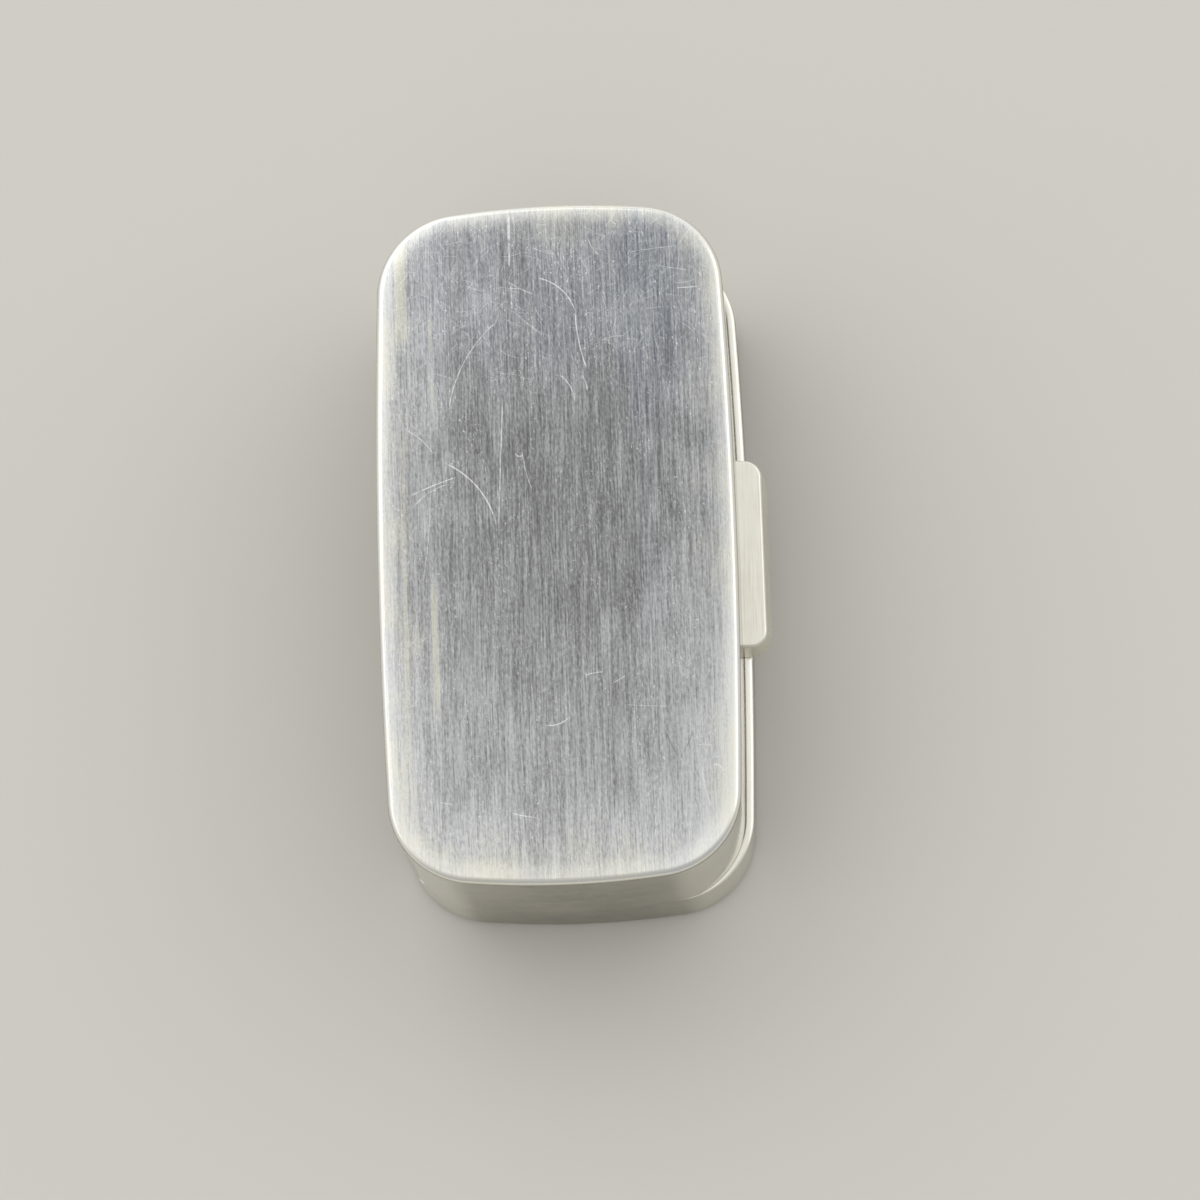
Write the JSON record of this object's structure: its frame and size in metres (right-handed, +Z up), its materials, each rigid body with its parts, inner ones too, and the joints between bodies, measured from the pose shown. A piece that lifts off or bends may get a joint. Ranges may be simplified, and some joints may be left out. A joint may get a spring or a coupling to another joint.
{
  "type": "pillbox",
  "caption": "Small oblong silver pillbox with rounded corners: shallow base, deeper hinged lid with a flat brushed top, thumb-piece at the front.",
  "frame": {"origin": "on the flat underside of the base, below the middle of the lid's outline", "axes": "+X along the length, -Y to the front with the thumb-piece, +Y to the hinge, +Z up through the lid"},
  "size_m": [0.0428, 0.0238, 0.015],
  "materials": {
    "brushed_silver": "satin",
    "polished_silver": "polished",
    "satin_silver": "satin",
    "hinge_silver": "satin"
  },
  "bodies": {
    "base": {"base_plate": "polished_silver", "base_wall": "polished_silver", "base_rim": "satin_silver", "base_gutter": "hinge_silver", "base_knuckle_1": "hinge_silver", "base_knuckle_3": "hinge_silver", "base_knuckle_5": "hinge_silver", "hinge_pin": "hinge_silver"},
    "lid": {"lid_plate": "brushed_silver", "lid_wall": "polished_silver", "lid_gutter": "hinge_silver", "lid_knuckle_2": "hinge_silver", "lid_knuckle_4": "hinge_silver", "thumb_piece": "satin_silver"}
  },
  "joints": [
    {"name": "lid_hinge", "type": "hinge", "parent": "base", "child": "lid", "pos_m": [0, 0.0098, 0.0048], "axis": [-1, 0, 0], "range_deg": [0, 100]}
  ]
}
